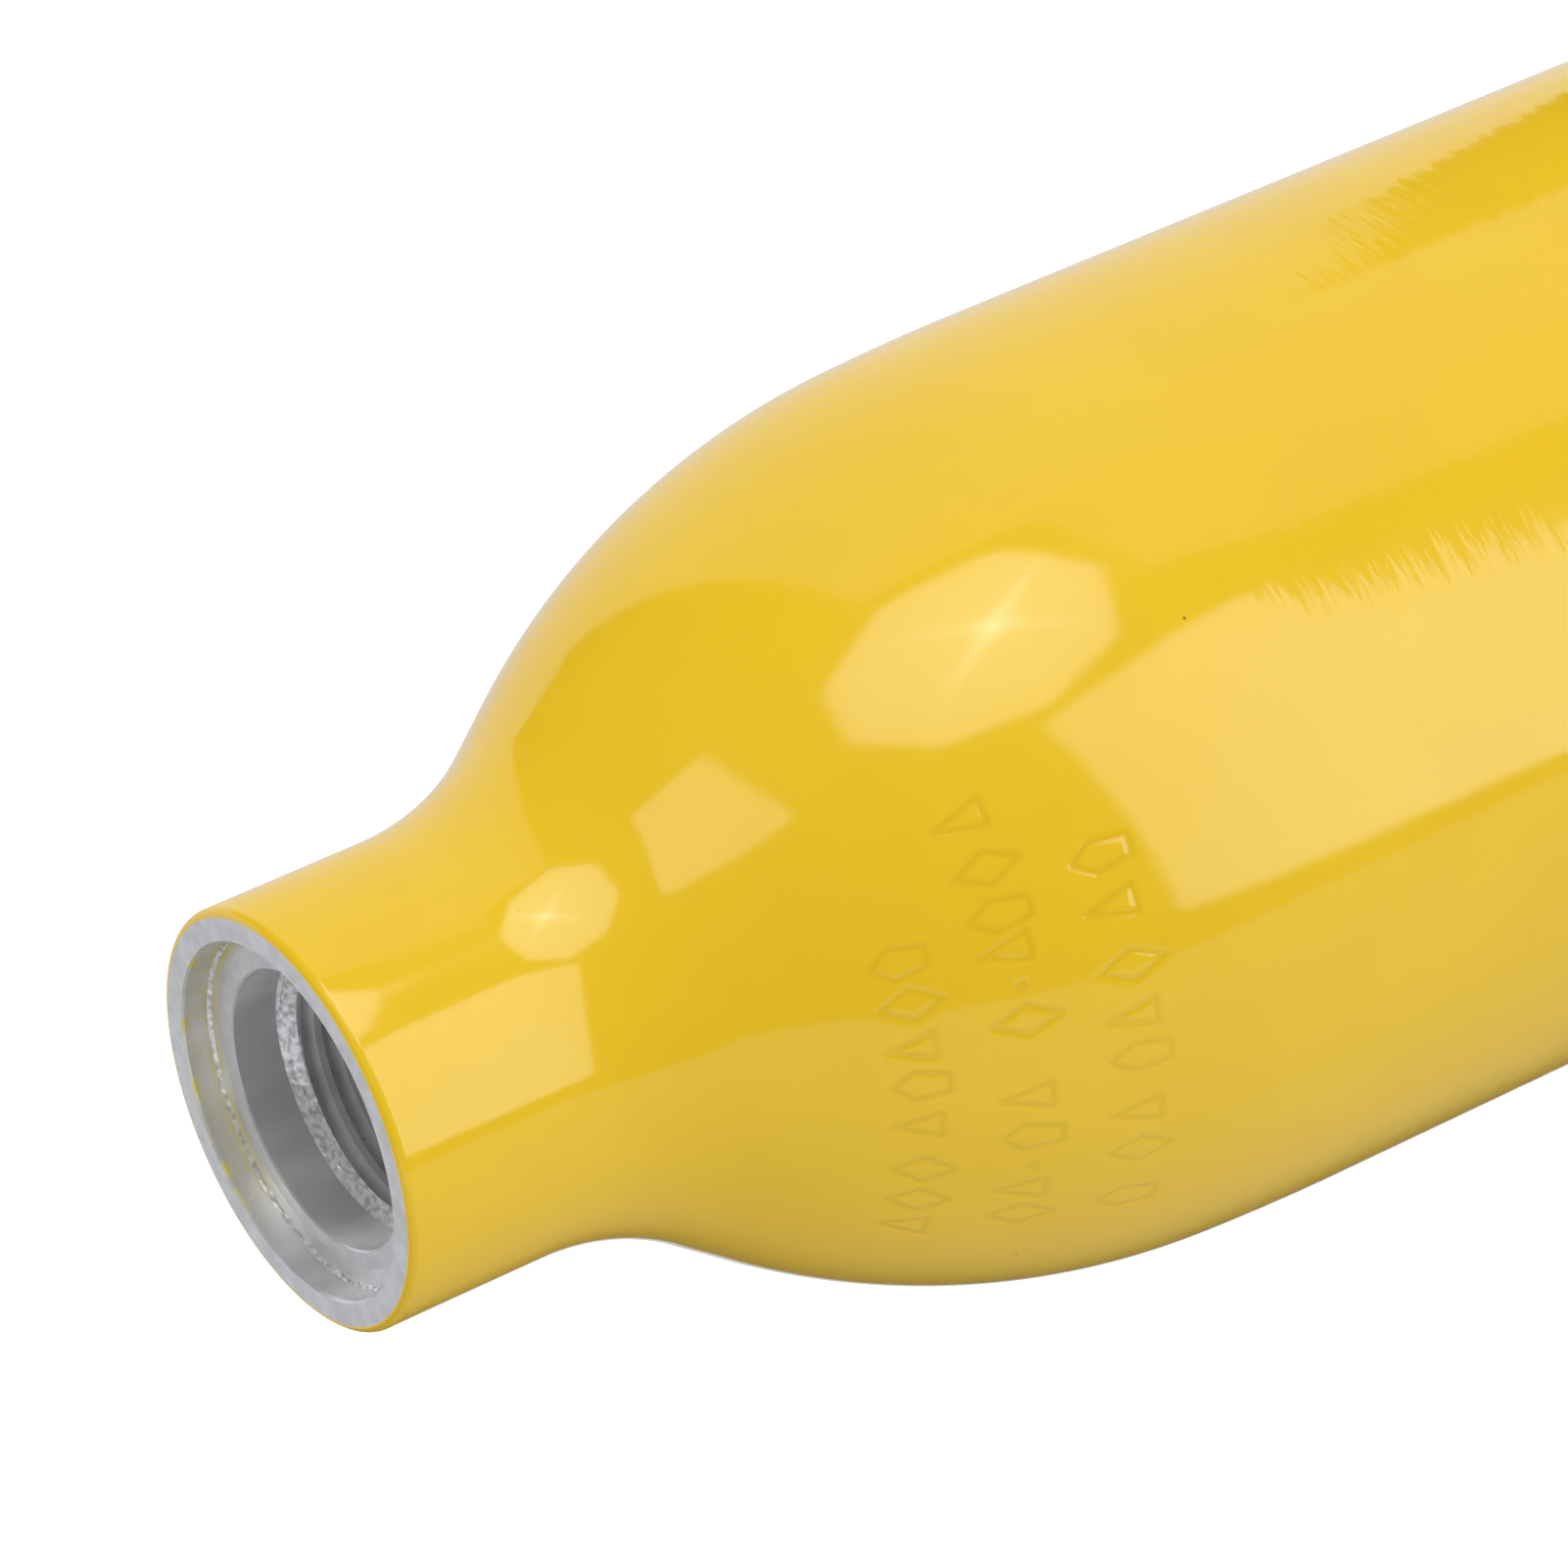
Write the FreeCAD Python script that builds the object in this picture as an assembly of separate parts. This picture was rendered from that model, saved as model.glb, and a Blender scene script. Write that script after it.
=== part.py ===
"""A half-litre aluminium diving cylinder: the bare bottle, its neck open and no valve fitted.

Millimetres, +Z up. The origin is on the bottle's axis, in the plane that the foot ring stands on.
Two pieces: the seamless aluminium shell, and the coat of paint that covers it.
"""
import FreeCAD, Part

import math
import os

# the whole bottle, over the paint, and the thickness of its coat and of its metal
BODY_RADIUS = 30.0
NECK_RADIUS = 13.9
COAT = 0.1
WALL = 4.0
WATER_CAPACITY = 500.0e3  # cubic millimetres, below the neck's bore

# neck: its straight length, the painted rounding at its rim, and the hollow throat below it
NECK_STRAIGHT = 11.8
RIM_ROUND = 0.54
THROAT_RADIUS = 18.9

# shoulder: a short cone, a tight arc, and a wide arc that fades into the body
SHOULDER_SLOPE = math.radians(35.5)
SHOULDER_RADIUS = 53.0
FADE_SLOPE = math.radians(3.3)
FADE_RADIUS = 175.0

# base: heel, flat foot ring, rounded lip and hollow dish
HEEL_RADIUS = 8.0
FOOT_INNER = 19.5
LIP_RADIUS = 3.0
DISH_RADIUS = 45.0

# gas space: flat floor, rounded corner, straight bore, dome, and the flare up to the neck's bore
CAVITY_RADIUS = BODY_RADIUS - COAT - WALL
FLOOR_HEIGHT = 12.0
FLOOR_CORNER = 14.0
DOME_RADIUS = 36.0
DOME_SLOPE = math.radians(50.0)
FLARE_RADIUS = 6.0

# inside the neck, as depths below its end face: seal seat, smooth bore, M18 x 1.5 thread
SEAT_RADIUS = 11.7
SEAT_DEPTH = 2.0
SEAT_EDGE = 0.15
SMOOTH_RADIUS = 9.2
SMOOTH_DEPTH = 5.2
THREAD_MAJOR = 9.0
THREAD_MINOR = 8.3
THREAD_PITCH = 1.5
THREAD_FLANK = math.radians(30)
THREAD_DEPTH = 26.0
THREAD_START = 7.0  # degrees round from +X at which the thread and the turned faces begin
RELIEF_RADIUS = 9.3
RELIEF_WIDTH = 2.0
PILOT_LENGTH = 3.0

QUARTER = math.pi / 2
BEYOND = 1.0  # how far a turned cutter runs past what it cuts
GROOVE_BEYOND = 0.25  # how far the thread's cutter runs past the crests, into the open bore
SAME_POINT = 1e-6


class Outline:
    """A closed line in the XZ plane, drawn as straight runs and arcs, that turns into a solid."""

    def __init__(self, radius, height):
        self.start = (radius, height)
        self.end = self.start
        self.edges = []

    def line_to(self, radius, height):
        """Run straight to a point, unless the line is there already."""
        point = (radius, height)
        if math.dist(self.end, point) > SAME_POINT:
            self.edges.append(Part.LineSegment(in_plane(self.end), in_plane(point)).toShape())
            self.end = point

    def arc(self, centre, size, begin, finish):
        """Run to an arc about a centre and round it. Its angles are in radians from the +X direction."""
        self.line_to(*on_circle(centre, size, begin))
        middle = on_circle(centre, size, (begin + finish) / 2)
        last = on_circle(centre, size, finish)
        self.edges.append(Part.Arc(*map(in_plane, (self.end, middle, last))).toShape())
        self.end = last

    def turned(self):
        """Close the line and turn it once about the bottle's axis."""
        self.line_to(*self.start)
        face = Part.Face(Part.Wire(self.edges))
        return face.revolve(FreeCAD.Vector(0, 0, 0), FreeCAD.Vector(0, 0, 1), 360)


def in_plane(point):
    """A radius and height as a point of the XZ plane."""
    return FreeCAD.Vector(point[0], 0, point[1])


def on_circle(centre, size, angle):
    """The radius and height of a point on a circle."""
    return centre[0] + size * math.cos(angle), centre[1] + size * math.sin(angle)


def shoulder_height():
    """Height from the full body up to the neck's straight part."""
    spread = BODY_RADIUS - NECK_RADIUS
    spread -= THROAT_RADIUS * (1 - math.cos(SHOULDER_SLOPE))
    spread -= SHOULDER_RADIUS * (math.cos(FADE_SLOPE) - math.cos(SHOULDER_SLOPE))
    spread -= FADE_RADIUS * (1 - math.cos(FADE_SLOPE))
    height = spread / math.tan(SHOULDER_SLOPE)
    height += (THROAT_RADIUS + SHOULDER_RADIUS) * math.sin(SHOULDER_SLOPE)
    return height + (FADE_RADIUS - SHOULDER_RADIUS) * math.sin(FADE_SLOPE)


def dome_height():
    """Height from the gas space's straight bore up to the neck's bore."""
    spread = CAVITY_RADIUS - THREAD_MINOR
    spread -= (DOME_RADIUS + FLARE_RADIUS) * (1 - math.cos(DOME_SLOPE))
    return (DOME_RADIUS + FLARE_RADIUS) * math.sin(DOME_SLOPE) + spread / math.tan(DOME_SLOPE)


def gas_space(straight):
    """Solid of the hollow inside, up to the neck's bore, with a given straight length."""
    corner = FLOOR_HEIGHT + FLOOR_CORNER
    mouth = corner + straight + dome_height()
    space = Outline(0, FLOOR_HEIGHT)
    space.arc((CAVITY_RADIUS - FLOOR_CORNER, corner), FLOOR_CORNER, -QUARTER, 0)
    space.arc((CAVITY_RADIUS - DOME_RADIUS, corner + straight), DOME_RADIUS, 0, DOME_SLOPE)
    space.arc((THREAD_MINOR + FLARE_RADIUS, mouth), FLARE_RADIUS, math.pi + DOME_SLOPE, math.pi)
    space.line_to(0, mouth)
    return space.turned()


def straight_length():
    """The straight length that gives the gas space its water capacity."""
    first_guess = 1.0
    missing = WATER_CAPACITY - gas_space(first_guess).Volume
    return first_guess + missing / (math.pi * CAVITY_RADIUS**2)


def relief_step():
    """Depth of the relief groove, and height of each of its sloping sides."""
    return RELIEF_RADIUS - THREAD_MINOR


def bore_length():
    """Depth below the end face at which the neck's bore opens into the gas space."""
    return THREAD_DEPTH + 2 * relief_step() + RELIEF_WIDTH + PILOT_LENGTH


def total_height(straight):
    """Height of the neck's end face above the foot ring."""
    return FLOOR_HEIGHT + FLOOR_CORNER + straight + dome_height() + bore_length()


def blank(top, inset):
    """The bottle as a solid bar: over the paint with no inset, or bare metal with the coat's as inset."""
    foot_outer = BODY_RADIUS - HEEL_RADIUS
    lip_turn = math.asin(FOOT_INNER / (LIP_RADIUS + DISH_RADIUS))
    dish_centre = LIP_RADIUS - (LIP_RADIUS + DISH_RADIUS) * math.cos(lip_turn)
    body_end = top - NECK_STRAIGHT - shoulder_height()
    fade_centre = (BODY_RADIUS - FADE_RADIUS, body_end)
    shoulder_centre = on_circle(fade_centre, FADE_RADIUS - SHOULDER_RADIUS, FADE_SLOPE)
    throat_centre = (NECK_RADIUS + THROAT_RADIUS, top - NECK_STRAIGHT)

    bar = Outline(0, dish_centre + DISH_RADIUS + inset)
    bar.arc((0, dish_centre), DISH_RADIUS + inset, QUARTER, QUARTER - lip_turn)
    bar.arc((FOOT_INNER, LIP_RADIUS), LIP_RADIUS - inset, -QUARTER - lip_turn, -QUARTER)
    bar.line_to(FOOT_INNER, 0)
    bar.line_to(foot_outer, 0)
    bar.arc((foot_outer, HEEL_RADIUS), HEEL_RADIUS - inset, -QUARTER, 0)
    bar.arc(fade_centre, FADE_RADIUS - inset, 0, FADE_SLOPE)
    bar.arc(shoulder_centre, SHOULDER_RADIUS - inset, FADE_SLOPE, SHOULDER_SLOPE)
    bar.arc(throat_centre, THROAT_RADIUS + inset, math.pi + SHOULDER_SLOPE, math.pi)
    bar.arc((NECK_RADIUS - RIM_ROUND, top - RIM_ROUND), RIM_ROUND - inset, 0, QUARTER)
    bar.line_to(NECK_RADIUS - RIM_ROUND, top)
    bar.line_to(0, top)
    return bar.turned()


def neck_bores(top):
    """Cutter for the stepped opening, from above the end face to just inside the gas space."""
    thread_end = top - THREAD_DEPTH
    relief_end = thread_end - 2 * relief_step() - RELIEF_WIDTH
    bores = Outline(0, top + BEYOND)
    bores.line_to(SEAT_RADIUS + SEAT_EDGE, top + BEYOND)
    bores.line_to(SEAT_RADIUS + SEAT_EDGE, top)
    bores.line_to(SEAT_RADIUS, top - SEAT_EDGE)
    bores.line_to(SEAT_RADIUS, top - SEAT_DEPTH)
    bores.line_to(SMOOTH_RADIUS, top - SEAT_DEPTH)
    bores.line_to(SMOOTH_RADIUS, top - SMOOTH_DEPTH)
    bores.line_to(THREAD_MINOR, top - SMOOTH_DEPTH - (SMOOTH_RADIUS - THREAD_MINOR))
    bores.line_to(THREAD_MINOR, thread_end)
    bores.line_to(RELIEF_RADIUS, thread_end - relief_step())
    bores.line_to(RELIEF_RADIUS, thread_end - relief_step() - RELIEF_WIDTH)
    bores.line_to(THREAD_MINOR, relief_end)
    bores.line_to(THREAD_MINOR, relief_end - PILOT_LENGTH - BEYOND)
    bores.line_to(0, relief_end - PILOT_LENGTH - BEYOND)
    return bores.turned()


def thread_groove(top):
    """Cutter for the 60 degree thread, wound from the relief groove up into the smooth bore."""
    low = top - THREAD_DEPTH - relief_step() - RELIEF_WIDTH / 2
    high = top - SMOOTH_DEPTH + THREAD_PITCH
    inner = THREAD_MINOR - GROOVE_BEYOND
    root_half = THREAD_PITCH / 16  # half of the flat root, which is an eighth of the pitch
    mouth_half = root_half + (THREAD_MAJOR - inner) * math.tan(THREAD_FLANK)
    section = [
        (inner, low - mouth_half),
        (THREAD_MAJOR, low - root_half),
        (THREAD_MAJOR, low + root_half),
        (inner, low + mouth_half),
    ]
    section = Part.makePolygon([in_plane(point) for point in section + section[:1]])
    path = Part.makeHelix(THREAD_PITCH, high - low, THREAD_MINOR)
    path.translate(FreeCAD.Vector(0, 0, low))
    return Part.Wire(path.Edges).makePipeShell([section], True, True)


def cylinder_shell(top, straight):
    """The seamless shell, hollowed, bored and threaded."""
    shell = blank(top, COAT).cut(gas_space(straight)).cut(neck_bores(top)).cut(thread_groove(top))
    return shell.rotate(FreeCAD.Vector(0, 0, 0), FreeCAD.Vector(0, 0, 1), THREAD_START)


def paint_coat(top):
    """The coat: a skin from the neck's rim down to the foot ring, and another over the dish."""
    return blank(top, 0).cut(blank(top, COAT))


def main():
    """Build both pieces and write one STEP file for each."""
    os.makedirs("parts", exist_ok=True)
    straight = straight_length()
    top = total_height(straight)
    nodes = {
        "cylinder_shell": cylinder_shell(top, straight),
        "paint_coat": paint_coat(top),
    }
    for name, shape in nodes.items():
        volumes = [round(solid.Volume, 1) for solid in shape.Solids]
        print(name, "valid", shape.isValid(), "solids in cubic mm", volumes)
        shape.exportStep("parts/" + name + ".step")
    print("height", round(top, 3), "straight bore", round(straight, 3))


main()
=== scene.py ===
import math

import bpy
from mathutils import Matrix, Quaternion, Vector


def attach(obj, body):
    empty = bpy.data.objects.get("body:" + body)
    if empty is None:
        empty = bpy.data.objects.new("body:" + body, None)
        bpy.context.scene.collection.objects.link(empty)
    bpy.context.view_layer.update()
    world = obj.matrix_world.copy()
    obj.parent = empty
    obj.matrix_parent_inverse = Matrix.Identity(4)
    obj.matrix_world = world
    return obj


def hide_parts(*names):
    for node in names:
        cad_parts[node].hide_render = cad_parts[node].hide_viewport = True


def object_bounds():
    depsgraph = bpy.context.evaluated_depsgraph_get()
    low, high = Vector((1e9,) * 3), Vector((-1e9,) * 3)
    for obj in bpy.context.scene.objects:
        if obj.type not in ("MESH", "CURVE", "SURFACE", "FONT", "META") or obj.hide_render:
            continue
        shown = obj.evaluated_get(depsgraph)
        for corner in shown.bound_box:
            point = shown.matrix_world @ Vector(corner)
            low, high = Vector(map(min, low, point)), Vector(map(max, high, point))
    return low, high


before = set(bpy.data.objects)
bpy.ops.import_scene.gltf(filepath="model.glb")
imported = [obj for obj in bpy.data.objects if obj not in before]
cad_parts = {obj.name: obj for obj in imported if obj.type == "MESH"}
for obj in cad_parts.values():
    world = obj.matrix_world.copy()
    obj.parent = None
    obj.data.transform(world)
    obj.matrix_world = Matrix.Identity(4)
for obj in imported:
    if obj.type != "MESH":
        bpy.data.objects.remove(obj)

bl_info = {
    "name": "Half-litre diving cylinder",
    "version": (1, 0, 0),
    "blender": (4, 5, 0),
    "location": "3D View > Sidebar > Diving cylinder",
    "description": "Turns the aluminium bottle and its enamel coat, and sets up a small studio",
    "category": "Object",
}

MM = 0.001
QUARTER = math.pi / 2
FULL_TURN = 2 * math.pi
SAME_POINT = 1e-6
CAD_LOW, CAD_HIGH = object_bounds()
TOP = CAD_HIGH.z / MM

# the outside, in millimetres: neck, shoulder, heel, foot ring, lip and dish
RIM_ROUND = 0.54
NECK_STRAIGHT = 11.8
THROAT_RADIUS = 18.9
SHOULDER_SLOPE = math.radians(35.5)
SHOULDER_RADIUS = 53.0
FADE_SLOPE = math.radians(3.3)
FADE_RADIUS = 175.0
HEEL_RADIUS = 8.0
FOOT_INNER = 19.5
LIP_RADIUS = 3.0
DISH_RADIUS = 45.0

# the gas space
CAVITY_RADIUS = 25.9
FLOOR_HEIGHT = 12.0
FLOOR_CORNER = 14.0
DOME_RADIUS = 36.0
DOME_SLOPE = math.radians(50.0)
FLARE_RADIUS = 6.0

# the neck's opening, as depths below its end face
SEAT_RADIUS = 11.7
SEAT_DEPTH = 2.0
SEAT_EDGE = 0.15
CORNER_FILLET = 0.22
SHELF_BEVEL = 0.12
SMOOTH_RADIUS = 9.2
SMOOTH_DEPTH = 5.2
THREAD_MINOR = 8.3
THREAD_MAJOR = 9.0
THREAD_PITCH = 1.5
THREAD_FLANK = math.radians(30)
THREAD_DEPTH = 26.0
THREAD_START = math.radians(7)  # azimuth at which the thread begins
THREAD_STEPS = 96  # steps of the thread's cutter in each turn
GROOVE_BEYOND = 0.25  # how far that cutter runs past the crests, into the open bore
RELIEF_RADIUS = 9.3
RELIEF_WIDTH = 2.0
PILOT_LENGTH = 3.0
DRAWN_BELOW = THREAD_DEPTH + 8  # below this depth the inside has its drawn finish
ON_SURFACE = 0.01  # within this distance a place counts as lying on a surface

# roughness that is modelled: the burr in the seat's corner and the chattered lead-in of the thread
CHATTER_START = SMOOTH_DEPTH + 0.05
CHATTER_END = SMOOTH_DEPTH + 0.85
BURR_SIZE = 0.45
BURR_HEIGHT = 0.22

# steps of the outside's rim, throat, neck, shoulder, fade, body and heel
SHELL_ROWS = (3, 12, 2, 16, 5, 6, 10)
COAT_OUTER_ROWS = (8, 20, 4, 10, 8, 14, 14)
COAT_INNER_ROWS = (3, 10, 2, 14, 4, 4, 8)
SHELL_COLUMNS = 320
DISH_COLUMNS = 160
SHELL_CREASE = math.radians(28)  # edges sharper than this are shaded sharp
COAT_CREASE = math.radians(40)

# the stamped rows: where the fine grid of the coat lies, and its spacing
STAMP_TOP, STAMP_BOTTOM = 28.6, 46.9  # depths below the end face
ROWS_TO_STAMPS = 5
STAMP_LEFT, STAMP_RIGHT = math.radians(196.0), math.radians(275.0)  # azimuths
STAMP_SLOPE = math.radians(20)  # the shoulder's mean slope between them
STAMP_COLUMN = math.radians(0.35)
STAMP_ROW = 0.19
COARSE_COLUMN = math.radians(2)  # the coat's spacing away from the stamps

# the stamped marks: their width, and how far from a line the coat begins and ends its fall
MARK_WIDTH = 2.1
DOT_WIDTH = 0.5
DOT_CORNERS = 8
MARK_REACH = 0.32
MARK_FLOOR = 0.06
CLEAR_OF_COAT = 50.0  # a radius outside the bottle, from which its surface is looked for

# depth of each row's middle, height of its marks, and for each mark its azimuth in degrees round from
# the front and how many corners it has (0 is a dot)
STAMP_ROWS = (
    (31.25, 3.9, (
        (-65.9, 3), (-59.0, 4), (-51.9, 4), (-42.8, 3), (-35.3, 5), (-28.7, 3), (-21.5, 4), (-14.7, 5),
    )),
    (37.35, 4.3, (
        (-63.0, 4), (-57.2, 3), (-52.5, 0), (-46.9, 5), (-40.0, 3), (-27.8, 4), (-22.8, 0), (-17.5, 3),
        (-12.5, 5), (-6.0, 4), (1.2, 3),
    )),
    (44.0, 4.3, (
        (-62.0, 5), (-52.5, 4), (-45.9, 3), (-37.2, 5), (-31.2, 3), (-24.3, 4), (-16.2, 3), (-9.6, 5),
    )),
)

# the studio, in millimetres, with Z from the plane of the neck's end face
OCTAGON_RADIUS = 170
OCTAGON_PLACE = (280, -331, -51)
OCTAGON_AIM = (0, -20, -45)
OCTAGON_SHIFT = (17, 24, 0)  # across its own face, after it is aimed
OCTAGON_ROLL = math.radians(-10)
STRIP = ((-328, -429, -133), (135, -533, -42), (220, -518, -334), (-362, -386, -469))
THROAT = (5, -18, -22)
HIGH_CORNERS = ((26, 34), (65, 33), (67, 43), (25, 43))  # azimuth and elevation from the throat, in degrees
HIGH_DISTANCE = 450
BOARD_X = 261
BOARD = (
    (600, -7), (-139, -7), (-160, -135), (-336, -227), (-416, -370), (-480, -600), (-30, -600),
    (0, -225), (127, -256), (243, -332), (366, -430), (600, -600),
)
PALE = ((-150, -150, 500), (-150, 800, 500), (-150, 800, -758), (-150, -150, -758))
BACK = ((-150, 600, -565), (700, 600, -565), (700, 600, 700), (-150, 600, 700))
FLOOR_RADIUS = 3000
ROOM_LEAN = (0.29, -0.32, 0.17)
CAMERA_PLACE = (6.82, -528.62, 230.26)
CAMERA_TILT, CAMERA_ROLL = math.radians(62.894), math.radians(-113.497)
CAMERA_LENS = 217.83
CAMERA_SENSOR = 36


def linear(code):
    """An sRGB hex colour as the linear red, green and blue that shaders use."""
    parts = [int(code[i:i + 2], 16) / 255 for i in (1, 3, 5)]
    return tuple(p / 12.92 if p <= 0.04045 else ((p + 0.055) / 1.055) ** 2.4 for p in parts)


def colour_setting(name, description, code):
    """A colour property whose default is an sRGB hex colour."""
    return bpy.props.FloatVectorProperty(
        name=name, description=description, subtype="COLOR", size=3, min=0, max=1, default=linear(code)
    )


def length_setting(name, description, metres):
    """A length property."""
    return bpy.props.FloatProperty(
        name=name, description=description, default=metres, subtype="DISTANCE", unit="LENGTH", precision=5
    )


def brightness_setting(name, description, strength):
    """A property for how bright a lamp, a card or the room is."""
    return bpy.props.FloatProperty(name=name, description=description, default=strength, min=0)


class BottleSettings(bpy.types.PropertyGroup):
    """Sizes and colours of the bottle."""

    body_radius: length_setting("Body radius", "Radius of the body over its enamel", CAD_HIGH.x)
    neck_radius: length_setting("Neck radius", "Radius of the neck over its enamel", 13.9 * MM)
    coat: length_setting("Coat", "Thickness of the enamel", 0.1 * MM)
    stamp_depth: length_setting("Stamp depth", "How deep the marks show through the enamel", 0.065 * MM)
    enamel: colour_setting("Enamel", "Colour of the sprayed enamel", "#E8C026")
    metal: colour_setting("Aluminium", "Colour of the bare aluminium", "#DEDEDF")


class StudioSettings(bpy.types.PropertyGroup):
    """Brightness of the studio's lamps and cards."""

    octagon: brightness_setting("Octagon lamp", "Brightness of the eight-sided softbox", 3.15)
    strip: brightness_setting("Strip lamp", "Brightness of the long softbox", 3.0)
    high: brightness_setting("High lamp", "Brightness of the small lamp above the mouth", 2.1)
    board: brightness_setting("White board", "Brightness of the board beside the body", 0.72)
    pale: brightness_setting("Pale card", "Brightness of the card on the other side", 0.74)
    back: brightness_setting("Back card", "Brightness of the card behind the mouth", 0.75)
    room: brightness_setting("Room", "Brightness of the even light from all round", 0.69)


# ---- drawing and turning -------------------------------------------------------------------------


def on_circle(centre, size, angle):
    """The radius and height of a point on a circle in the half plane of the outline."""
    return centre[0] + size * math.cos(angle), centre[1] + size * math.sin(angle)


def deselect():
    """Leave object mode's selection empty."""
    if bpy.context.object and bpy.context.object.mode != "OBJECT":
        bpy.ops.object.mode_set(mode="OBJECT")
    bpy.ops.object.select_all(action="DESELECT")


def choose(obj):
    """Select one object alone and make it active."""
    deselect()
    obj.select_set(True)
    bpy.context.view_layer.objects.active = obj


class Outline:
    """Half of a turned shape's section, drawn vertex by vertex in the XZ plane, in millimetres.

    The spin operator turns clockwise about its axis, so the axes given to it are the opposite ones.
    """

    def __init__(self, name, radius, height):
        deselect()
        bpy.ops.mesh.primitive_plane_add(size=MM, location=(0, 0, 0))
        self.obj = bpy.context.object
        self.obj.name = name
        self.obj.data.name = name
        bpy.ops.object.mode_set(mode="EDIT")
        bpy.ops.mesh.merge(type="CENTER")
        bpy.ops.transform.translate(value=(radius * MM, 0, height * MM))
        self.end = (radius, height)

    def line_to(self, radius, height, steps=1):
        """Extrude straight to a point, unless the line is there already."""
        if math.dist(self.end, (radius, height)) < SAME_POINT:
            return
        step = ((radius - self.end[0]) / steps * MM, 0, (height - self.end[1]) / steps * MM)
        for _ in range(steps):
            bpy.ops.mesh.extrude_region_move(TRANSFORM_OT_translate={"value": step})
        self.end = (radius, height)

    def arc(self, centre, size, begin, finish, steps):
        """Go to an arc about a centre and spin round it."""
        self.line_to(*on_circle(centre, size, begin))
        bpy.ops.mesh.spin(
            steps=steps, angle=finish - begin, axis=(0, 1, 0),
            center=(centre[0] * MM, 0, centre[1] * MM),
        )
        self.end = on_circle(centre, size, finish)

    def turned(self, *sectors):
        """Spin the outline once about the bottle's axis, in sectors of (angle, steps), and close it."""
        bpy.ops.mesh.select_all(action="SELECT")
        for angle, steps in sectors:
            bpy.ops.mesh.spin(steps=steps, angle=angle, center=(0, 0, 0), axis=(0, 0, -1))
        bpy.ops.mesh.select_all(action="SELECT")
        bpy.ops.mesh.remove_doubles(threshold=SAME_POINT)
        bpy.ops.mesh.normals_make_consistent(inside=False)
        bpy.ops.object.mode_set(mode="OBJECT")
        return self.obj


def group_where(obj, name, wanted):
    """A vertex group of the vertices whose places are wanted."""
    choose(obj)
    group = obj.vertex_groups.new(name=name)
    bpy.ops.object.mode_set(mode="EDIT")
    bpy.ops.mesh.select_all(action="DESELECT")
    bpy.ops.object.mode_set(mode="OBJECT")
    for vertex in obj.data.vertices:
        vertex.select = wanted(vertex.co)
    bpy.ops.object.mode_set(mode="EDIT")
    bpy.context.scene.tool_settings.vertex_group_weight = 1.0
    bpy.ops.object.vertex_group_assign()
    bpy.ops.object.mode_set(mode="OBJECT")
    return group


def outer_arcs(bottle):
    """Centres of the outside's arcs, and the depth and height where they meet, in millimetres."""
    body, neck = bottle.body_radius / MM, bottle.neck_radius / MM
    spread = body - neck
    spread -= THROAT_RADIUS * (1 - math.cos(SHOULDER_SLOPE))
    spread -= SHOULDER_RADIUS * (math.cos(FADE_SLOPE) - math.cos(SHOULDER_SLOPE))
    spread -= FADE_RADIUS * (1 - math.cos(FADE_SLOPE))
    height = spread / math.tan(SHOULDER_SLOPE)
    height += (THROAT_RADIUS + SHOULDER_RADIUS) * math.sin(SHOULDER_SLOPE)
    height += (FADE_RADIUS - SHOULDER_RADIUS) * math.sin(FADE_SLOPE)
    fade = (body - FADE_RADIUS, TOP - NECK_STRAIGHT - height)
    lip_turn = math.asin(FOOT_INNER / (LIP_RADIUS + DISH_RADIUS))
    return {
        "rim": (neck - RIM_ROUND, TOP - RIM_ROUND),
        "throat": (neck + THROAT_RADIUS, TOP - NECK_STRAIGHT),
        "shoulder": on_circle(fade, FADE_RADIUS - SHOULDER_RADIUS, FADE_SLOPE),
        "fade": fade,
        "heel": (body - HEEL_RADIUS, HEEL_RADIUS),
        "lip": (FOOT_INNER, LIP_RADIUS),
        "lip_turn": lip_turn,
        "dish": (0, LIP_RADIUS - (LIP_RADIUS + DISH_RADIUS) * math.cos(lip_turn)),
    }


def draw_down(line, arcs, inset, rows, stamped=None):
    """Draw the outside from the neck's rim down to the foot ring. Rows are the steps of each stretch."""
    rim, throat, neck, shoulder, fade, body, heel = rows
    line.arc(arcs["rim"], RIM_ROUND - inset, QUARTER, 0, rim)
    line.line_to(line.end[0], arcs["throat"][1], neck)
    line.arc(arcs["throat"], THROAT_RADIUS + inset, math.pi, math.pi + SHOULDER_SLOPE, throat)
    size = SHOULDER_RADIUS - inset
    begin = SHOULDER_SLOPE
    for depth, steps in stamped or ():
        at = math.asin((TOP - depth - arcs["shoulder"][1]) / SHOULDER_RADIUS)
        line.arc(arcs["shoulder"], size, begin, at, steps)
        begin = at
    line.arc(arcs["shoulder"], size, begin, FADE_SLOPE, shoulder)
    line.arc(arcs["fade"], FADE_RADIUS - inset, FADE_SLOPE, 0, fade)
    line.line_to(line.end[0], HEEL_RADIUS, body)
    line.arc(arcs["heel"], HEEL_RADIUS - inset, 0, -QUARTER, heel)


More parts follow.
